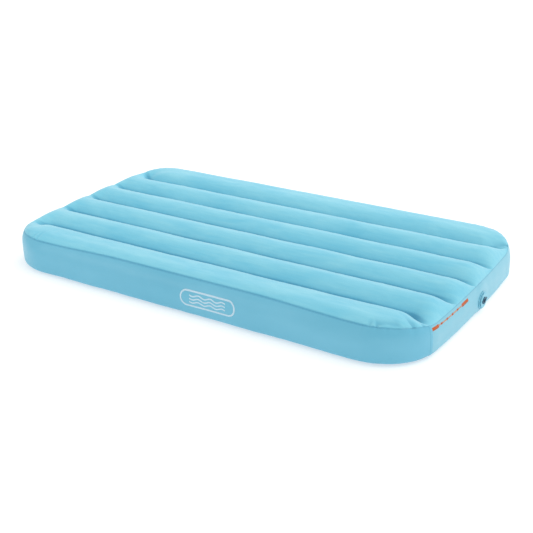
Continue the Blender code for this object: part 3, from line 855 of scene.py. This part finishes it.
def stroke(line, width, closed=False):
    """An inked line of a width: rows of three points across it, in the wall's own plane, and its faces."""
    spaced = evenly_spaced(line, PRINT_STEP, closed)
    if closed:
        ahead = np.roll(spaced, -1, axis=0) - np.roll(spaced, 1, axis=0)
    else:
        ahead = np.gradient(spaced, axis=0)
    ahead /= np.hypot(*ahead.T)[:, None]
    aside = np.stack([-ahead[:, 1], ahead[:, 0]], axis=-1)
    rows = np.stack([spaced + aside * width * share for share in (-0.5, 0.0, 0.5)])
    return rows.reshape(-1, 2), grid_faces(3, len(spaced), wrap=closed)


def rounded_frame(centre, half_width, half_height, radius):
    """Outline of a rectangle with round corners."""
    outline = []
    for quarter in range(4):
        side_x = 1 if quarter in (0, 3) else -1
        side_y = 1 if quarter in (0, 1) else -1
        for step in range(FRAME_CORNER_STEPS + 1):
            turn = (quarter + step / FRAME_CORNER_STEPS) * math.pi / 2
            x = centre[0] + side_x * (half_width - radius) + radius * math.cos(turn)
            outline.append((x, centre[1] + side_y * (half_height - radius) + radius * math.sin(turn)))
    return outline


def print_piece(name, strokes, surface, material):
    """Strokes of ink, laid on the wall."""
    points, faces, count = [], [], 0
    for plan, quads in strokes:
        points.append(surface(plan[:, 0], plan[:, 1], PRINT_LIFT))
        faces.append(quads + count)
        count += len(plan)
    piece = make_piece(name, np.concatenate(points), np.concatenate(faces), material)
    thicken(piece, PRINT_FILM)
    film(piece, "root", [])


def make_emblem(material):
    """A plain round-cornered frame round three waves, in pale ink on the long wall."""
    centre_x, centre_z = EMBLEM_CENTRE
    outline = rounded_frame(EMBLEM_CENTRE, *EMBLEM_HALF_SIZE, EMBLEM_RADIUS)
    strokes = [stroke(outline, EMBLEM_LINE, closed=True)]
    along = np.linspace(-EMBLEM_WAVE_REACH, EMBLEM_WAVE_REACH, EMBLEM_WAVE_POINTS)
    for row in (-1, 0, 1):
        up = EMBLEM_WAVE_HEIGHT * np.sin(2 * math.pi * along / EMBLEM_WAVE_LENGTH)
        line = np.stack([centre_x + along, centre_z + row * EMBLEM_WAVE_GAP + up], axis=-1)
        strokes.append(stroke(line, EMBLEM_WAVE_LINE))
    print_piece("wall_emblem_print", strokes, side_wall_points, material)


def band_line(first, last):
    """A stretch of the band's line: level along the end wall, then up with the seam round the corner."""
    run = np.linspace(first, last, BAND_LINE_POINTS)
    turned = np.clip((np.abs(run) - BAND_LEVEL_REACH) / (abs(BAND_START) - BAND_LEVEL_REACH), 0.0, 1.0)
    return np.stack([run, BAND_Z + BAND_CORNER_RISE * turned**2], axis=-1)


def make_band(solid_ink, thin_ink):
    """A band under the seam of the end wall: solid at both ends, a thin row of dashes and marks between."""
    first = BAND_START + BAND_SOLID
    last = BAND_END - BAND_SOLID
    solids = [
        stroke(band_line(BAND_START, first), BAND_HEIGHT),
        stroke(band_line(last, BAND_END), BAND_HEIGHT),
    ]
    pitch = BAND_DASH + BAND_DASH_GAP
    count = int((last - first - BAND_DASH_GAP) / pitch)
    margin = (last - first - count * pitch + BAND_DASH_GAP) / 2
    dashes = []
    for index in range(count):
        start = first + margin + index * pitch
        line = band_line(start, start + BAND_DASH)
        if index % BAND_MARK_EVERY == 1:
            solids.append(stroke(line, BAND_MARK_HEIGHT))
        else:
            dashes.append(stroke(line, BAND_DASH_HEIGHT))
    print_piece("wall_band_print", solids, end_wall_points, solid_ink)
    print_piece("wall_dash_print", dashes, end_wall_points, thin_ink)


# --- valve ------------------------------------------------


def dress(node_name, material, edge):
    """Gives a moulded CAD piece of the valve its finish, and rounds its edges."""
    node = frame["nodes"][node_name]
    node.data.materials.clear()
    node.data.materials.append(material)
    node.data.shade_smooth()
    node.data.set_sharp_from_angle(angle=math.radians(MOULDED_SHARP_ANGLE))
    rounding = node.modifiers.new("moulded_edges", "BEVEL")
    rounding.width = edge
    rounding.segments = 3
    rounding.limit_method = "ANGLE"
    rounding.angle_limit = math.radians(MOULDED_BEVEL_ANGLE)
    rounding.harden_normals = True


def from_valve_axis(out, radius, turn):
    """Points round the valve's axis: distance out of the wall, radius, and turn from +Y."""
    out, radius, turn = np.broadcast_arrays(out, radius, turn)
    aside = VALVE.y + radius * np.cos(turn)
    return np.stack([VALVE.x + out, aside, VALVE.z + radius * np.sin(turn)], axis=-1)


def make_weld_ring(material):
    """The ridged ring that the welding tool leaves on the base's flange."""
    count = WELD_RIDGES * WELD_RIDGE_STEPS
    turn = 2 * math.pi * np.arange(count) / count
    ridge = WELD_RIDGE_LOW + (1 - WELD_RIDGE_LOW) * (0.5 + 0.5 * np.cos(WELD_RIDGES * turn))
    rows = []
    for across, height in WELD_RING_PROFILE:
        radius = WELD_RING_INNER + (WELD_RING_OUTER - WELD_RING_INNER) * across
        raised = WELD_RING_HEIGHT * height * (ridge if height > 0 else np.ones(count))
        rows.append(from_valve_axis(BASE_FACE + raised, radius, turn))
    points = np.stack(rows)
    faces = np.concatenate([grid_faces(len(points), count, wrap=True), closing_faces(len(points), count)])
    piece = make_piece("valve_weld_ring", points.reshape(-1, 3), faces[:, ::-1], material)
    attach(piece, "valve")


def closing_faces(rows, columns):
    """Quads that join the last row of a ring's grid back to its first."""
    column = np.arange(columns)
    beside = (column + 1) % columns
    last = (rows - 1) * columns
    return np.stack([last + column, last + beside, beside, column], axis=-1)


def make_thread(material):
    """The screw thread round the insert's barrel, one turn for each pitch of the screw joint."""
    turns = (THREAD_TOP - THREAD_TIP) / THREAD_PITCH
    steps = int(turns * THREAD_STEPS_A_TURN)
    share = np.arange(steps + 1) / steps
    turn = 2 * math.pi * turns * share
    out = THREAD_TOP - THREAD_PITCH * turns * share
    start = smooth_step(share * turns * THREAD_FADES_A_TURN)
    finish = smooth_step((1 - share) * turns * THREAD_FADES_A_TURN)
    full = THREAD_END_HEIGHT + (1 - THREAD_END_HEIGHT) * start * finish
    rows = [
        from_valve_axis(out + THREAD_HALF_WIDTH * aside, BARREL_RADIUS + THREAD_HEIGHT * rise * full, turn)
        for aside, rise in THREAD_PROFILE
    ]
    points = np.stack(rows)
    count = len(share)
    faces = np.concatenate([grid_faces(len(points), count), closing_faces(len(points), count)[:-1]])
    ends = [[0, count, 2 * count, 3 * count], [4 * count - 1, 3 * count - 1, 2 * count - 1, count - 1]]
    piece = make_piece("insert_thread", points.reshape(-1, 3), np.concatenate([faces, ends]), material)
    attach(piece, "insert")


def make_valve(vinyl, cap_vinyl, rubber):
    dress("valve_base", vinyl, edge=0.0004)
    dress("valve_insert", vinyl, edge=0.0003)
    dress("insert_seal", rubber, edge=0.0004)
    dress("check_flap", rubber, edge=0.0002)
    dress("cap_strap", cap_vinyl, edge=0.0002)
    dress("valve_cap", cap_vinyl, edge=0.0003)
    make_weld_ring(vinyl)
    make_thread(vinyl)


# --- materials --------------------------------------------


def srgb(red, green, blue):
    """Linear colour, with alpha, of a screen colour from 0 to 255."""
    screen = np.array([red, green, blue]) / 255
    linear = np.where(screen < 0.04045, screen / 12.92, ((screen + 0.055) / 1.055) ** 2.4)
    return (*linear.tolist(), 1.0)


def new_material(name, **constants):
    """A Principled material with these constant sockets, its node tree and its shader."""
    material = bpy.data.materials.new(name)
    material.use_nodes = True
    shader = material.node_tree.nodes["Principled BSDF"]
    for socket, value in constants.items():
        shader.inputs[socket.replace("_", " ")].default_value = value
    return material, material.node_tree, shader


def plug(tree, socket, value):
    """Sets a socket to a constant, or links it."""
    if isinstance(value, bpy.types.NodeSocket):
        tree.links.new(value, socket)
    else:
        socket.default_value = value


def noise(tree, pitch, stretch=(1, 1, 1), detail=2.0, roughness=0.5, distortion=0.0):
    """Noise in the piece's own space: lumps about `pitch` metres apart, drawn out where stretch is small."""
    place = tree.nodes.new("ShaderNodeTexCoord")
    mapping = tree.nodes.new("ShaderNodeMapping")
    mapping.inputs["Scale"].default_value = stretch
    texture = tree.nodes.new("ShaderNodeTexNoise")
    texture.inputs["Scale"].default_value = 1 / pitch
    texture.inputs["Detail"].default_value = detail
    texture.inputs["Roughness"].default_value = roughness
    texture.inputs["Distortion"].default_value = distortion
    tree.links.new(place.outputs["Object"], mapping.inputs["Vector"])
    tree.links.new(mapping.outputs["Vector"], texture.inputs["Vector"])
    return texture.outputs["Fac"]


def attribute(tree, name):
    node = tree.nodes.new("ShaderNodeAttribute")
    node.attribute_name = name
    return node.outputs["Fac"]


def spread(tree, value, low, high, to_low=0.0, to_high=1.0):
    """Maps a value's range low..high onto to_low..to_high, and holds it there."""
    node = tree.nodes.new("ShaderNodeMapRange")
    plug(tree, node.inputs["Value"], value)
    node.inputs["From Min"].default_value = low
    node.inputs["From Max"].default_value = high
    node.inputs["To Min"].default_value = to_low
    node.inputs["To Max"].default_value = to_high
    return node.outputs["Result"]


def maths(tree, operation, first, second):
    node = tree.nodes.new("ShaderNodeMath")
    node.operation = operation
    plug(tree, node.inputs[0], first)
    plug(tree, node.inputs[1], second)
    return node.outputs["Value"]


def blend(tree, share, first, second):
    """A colour between two, by a share."""
    node = tree.nodes.new("ShaderNodeMix")
    node.data_type = "RGBA"
    plug(tree, node.inputs["Factor"], share)
    plug(tree, node.inputs["A"], first)
    plug(tree, node.inputs["B"], second)
    return node.outputs["Result"]


def relief(tree, shader, layers):
    """Stacks bumps, each a height from 0 to 1 and the metres it stands for."""
    normal = None
    for height, metres in layers:
        node = tree.nodes.new("ShaderNodeBump")
        node.inputs["Distance"].default_value = metres
        plug(tree, node.inputs["Height"], height)
        if normal is not None:
            tree.links.new(normal, node.inputs["Normal"])
        normal = node.outputs["Normal"]
    tree.links.new(normal, shader.inputs["Normal"])


def finish_shader(tree, shader, colour, roughness, layers):
    plug(tree, shader.inputs["Base Color"], colour)
    plug(tree, shader.inputs["Roughness"], roughness)
    relief(tree, shader, layers)


def flocked_material():
    """Velvet-like nap on vinyl: brushed patches, streaks along the bed, fine fibres, and painted shade in
    its creases.
    """
    material, tree, shader = new_material(
        "flocked_nap",
        Sheen_Weight=0.45,
        Sheen_Roughness=0.45,
        Sheen_Tint=(1.0, 1.0, 1.0, 1.0),
        Specular_IOR_Level=0.12,
    )
    brushing = noise(tree, 0.085, stretch=(0.4, 1.0, 1.0), detail=3.0, roughness=0.55, distortion=0.6)
    brushed = spread(tree, brushing, 0.34, 0.66)
    streaking = noise(tree, 0.011, stretch=(0.10, 1.0, 0.8), detail=3.0, roughness=0.6)
    streaks = spread(tree, streaking, 0.32, 0.68)
    fibres = noise(tree, 0.0011, stretch=(0.8, 1.0, 1.0), roughness=0.7)
    lean = maths(tree, "ADD", maths(tree, "MULTIPLY", brushed, 0.6), maths(tree, "MULTIPLY", streaks, 0.4))
    colour = blend(tree, lean, srgb(*FLOCK_SHADE), srgb(*FLOCK_LIGHT))
    colour = blend(tree, spread(tree, fibres, 0.35, 0.65, to_high=0.35), colour, srgb(*FLOCK_FIBRE))
    # Painted shade: grooves, the seam and puckers are darkened as shade in them would darken them; in the
    # puckers it also stands for the darker nap
    crease_shaded = maths(tree, "MULTIPLY", attribute(tree, "crease_shade"), FLOCK_CREASE_SHADE_SHARE)
    colour = blend(tree, crease_shaded, colour, srgb(*FLOCK_CREASE_SHADE))
    dullness = spread(tree, lean, 0.0, 1.0, to_low=0.97, to_high=0.86)
    finish_shader(tree, shader, colour, dullness, [(brushed, 0.0006), (streaks, 0.00022), (fibres, 0.0002)])
    return material


def vinyl_material(name, light, dark, crease_shade_colour, roughness, painted_end_light_colour=None):
    """Smooth soft vinyl: faint cloudy colour, a fine emboss, smears that are a little glossier, painted
    shade in its creases, and painted light where a paler colour is given for a lit end.
    """
    material, tree, shader = new_material(name, Specular_IOR_Level=0.5)
    cloudy = spread(tree, noise(tree, 0.16, stretch=(0.5, 0.5, 1.0), detail=3.0), 0.32, 0.68)
    emboss = noise(tree, 0.0013, roughness=0.6)
    smearing = noise(tree, 0.05, stretch=(0.35, 0.35, 1.0), detail=4.0, roughness=0.6, distortion=0.8)
    smears = spread(tree, smearing, 0.35, 0.7)
    colour = blend(tree, cloudy, dark, light)
    # Painted light: a paler colour where the piece carries it, as if more brightly lit
    if painted_end_light_colour is not None:
        colour = blend(tree, attribute(tree, "painted_end_light"), colour, painted_end_light_colour)
    # Painted shade: seams, the foot and the base's grooves are darkened as shade in them would darken them
    crease_shaded = maths(tree, "MULTIPLY", attribute(tree, "crease_shade"), VINYL_CREASE_SHADE_SHARE)
    colour = blend(tree, crease_shaded, colour, crease_shade_colour)
    dullness = spread(tree, smears, 0.0, 1.0, to_low=roughness + 0.05, to_high=roughness - 0.06)
    finish_shader(tree, shader, colour, dullness, [(smears, 0.00012), (emboss, VINYL_GRAIN)])
    return material


def moulded_material(name, light, dark, roughness, grain):
    """Injection-moulded piece of the valve: spark-eroded texture, and wear that lightens it in patches."""
    material, tree, shader = new_material(name, Specular_IOR_Level=0.4)
    worn = spread(tree, noise(tree, 0.009, detail=4.0, roughness=0.6), 0.38, 0.7)
    texture = noise(tree, 0.00045, roughness=0.6)
    dullness = spread(tree, worn, 0.0, 1.0, to_low=roughness, to_high=roughness + 0.12)
    finish_shader(tree, shader, blend(tree, worn, dark, light), dullness, [(texture, grain)])
    return material


def ink_material(name, full, thin):
    """Screen-printed ink, slightly uneven in cover."""
    material, tree, shader = new_material(name, Specular_IOR_Level=0.3)
    cover = spread(tree, noise(tree, 0.0035, detail=3.0, roughness=0.65), 0.4, 0.72)
    dullness = spread(tree, cover, 0.0, 1.0, to_low=0.42, to_high=0.55)
    finish_shader(tree, shader, blend(tree, cover, full, thin), dullness, [(cover, 0.00003)])
    return material


# --- the bed ----------------------------------------------

wall_vinyl = vinyl_material(
    "wall_vinyl",
    light=srgb(111, 188, 214),
    dark=srgb(98, 179, 206),
    # painted shade for the seam and the foot
    crease_shade_colour=srgb(52, 132, 170),
    roughness=0.36,
    # painted light: the paler colour of the brightly lit end wall
    painted_end_light_colour=srgb(128, 194, 214),
)
base_vinyl = vinyl_material(
    "base_vinyl",
    light=srgb(96, 172, 208),
    dark=srgb(84, 160, 198),
    # painted shade for the grooves under the beams
    crease_shade_colour=srgb(48, 118, 160),
    roughness=0.5,
)
beam_vinyl = vinyl_material(
    "beam_film",
    light=srgb(150, 205, 226),
    dark=srgb(136, 194, 218),
    crease_shade_colour=srgb(90, 160, 192),
    roughness=0.4,
)
valve_vinyl = moulded_material("valve_vinyl", srgb(142, 207, 227), srgb(128, 198, 220), 0.34, grain=0.00004)
cap_vinyl = moulded_material("cap_vinyl", srgb(44, 106, 132), srgb(28, 82, 108), 0.34, grain=0.00003)
seal_rubber = moulded_material("seal_rubber", srgb(176, 208, 218), srgb(152, 190, 204), 0.5, grain=0.00003)
pale_ink = ink_material("pale_ink", full=srgb(200, 226, 239), thin=srgb(178, 214, 232))
orange_ink = ink_material("orange_ink", full=srgb(186, 82, 30), thin=srgb(200, 104, 52))
thin_orange_ink = ink_material("thin_orange_ink", full=srgb(212, 138, 92), thin=srgb(206, 164, 134))

make_top(flocked_material())
make_wall(wall_vinyl)
make_base(base_vinyl)
for beam_name, beam_line in zip(BEAM_NODES, BEAM_LINES):
    make_beam(beam_name, beam_line, beam_vinyl)
make_lap_weld(wall_vinyl)
make_emblem(pale_ink)
make_band(orange_ink, thin_orange_ink)
make_valve(valve_vinyl, cap_vinyl, seal_rubber)


# --- floor, light and camera ------------------------------


def make_floor():
    """A pale table that glows slightly, as a lit product table does, so that shadows on it stay faint."""
    material, _, _ = new_material(
        "pale_floor",
        Base_Color=FLOOR_COLOUR,
        Roughness=0.9,
        Emission_Color=(1.0, 1.0, 1.0, 1.0),
        Emission_Strength=FLOOR_GLOW,
    )
    half = FLOOR_SIZE / 2
    corners = [(x * half, y * half, FLOOR_Z) for x, y in ((-1, -1), (1, -1), (1, 1), (-1, 1))]
    floor = make_piece("floor", corners, [(0, 1, 2, 3)], material)


def aimed(light_object, towards):
    """Turns a light to shine from a direction, or from a place, to the middle of the frame."""
    light_object.rotation_mode = "QUATERNION"
    light_object.rotation_quaternion = Vector(towards).to_track_quat("Z", "Y")
    bpy.context.collection.objects.link(light_object)


def make_softbox(name, place, size, power):
    data = bpy.data.lights.new(name, "AREA")
    data.shape = "RECTANGLE"
    data.size, data.size_y = size
    data.energy = power
    box = bpy.data.objects.new(name, data)
    box.location = place
    aimed(box, place)


def make_light():
    world = bpy.data.worlds.new("studio")
    world.use_nodes = True
    world.node_tree.nodes["Background"].inputs["Color"].default_value = (1.0, 1.0, 1.0, 1.0)
    world.node_tree.nodes["Background"].inputs["Strength"].default_value = SKY_STRENGTH
    bpy.context.scene.world = world
    sun = bpy.data.lights.new("main_light", "SUN")
    sun.energy = SUN_STRENGTH
    sun.angle = math.radians(SUN_SOFTNESS)
    aimed(bpy.data.objects.new("main_light", sun), SUN_FROM)
    make_softbox("back_softbox", BACK_LIGHT_PLACE, BACK_LIGHT_SIZE, BACK_LIGHT_POWER)
    make_softbox("left_softbox", LEFT_LIGHT_PLACE, LEFT_LIGHT_SIZE, LEFT_LIGHT_POWER)


def make_camera():
    """The camera looks along -back, its picture turned slightly about that line."""
    azimuth, elevation, roll = (math.radians(angle) for angle in CAMERA_ANGLES)
    level = math.cos(elevation)
    back = Vector((math.sin(azimuth) * level, -math.cos(azimuth) * level, math.sin(elevation)))
    right = Vector((math.cos(azimuth), math.sin(azimuth), 0.0))
    up = back.cross(right)
    turned_right = right * math.cos(roll) + up * math.sin(roll)
    turned_up = up * math.cos(roll) - right * math.sin(roll)
    data = bpy.data.cameras.new("camera")
    data.lens = CAMERA_LENS
    camera = bpy.data.objects.new("camera", data)
    turned = Matrix((turned_right, turned_up, back)).transposed().to_4x4()
    camera.matrix_world = Matrix.Translation(CAMERA_PLACE) @ turned
    bpy.context.collection.objects.link(camera)
    bpy.context.scene.camera = camera


make_floor()
make_light()
make_camera()
bpy.context.scene.view_settings.view_transform = "Standard"
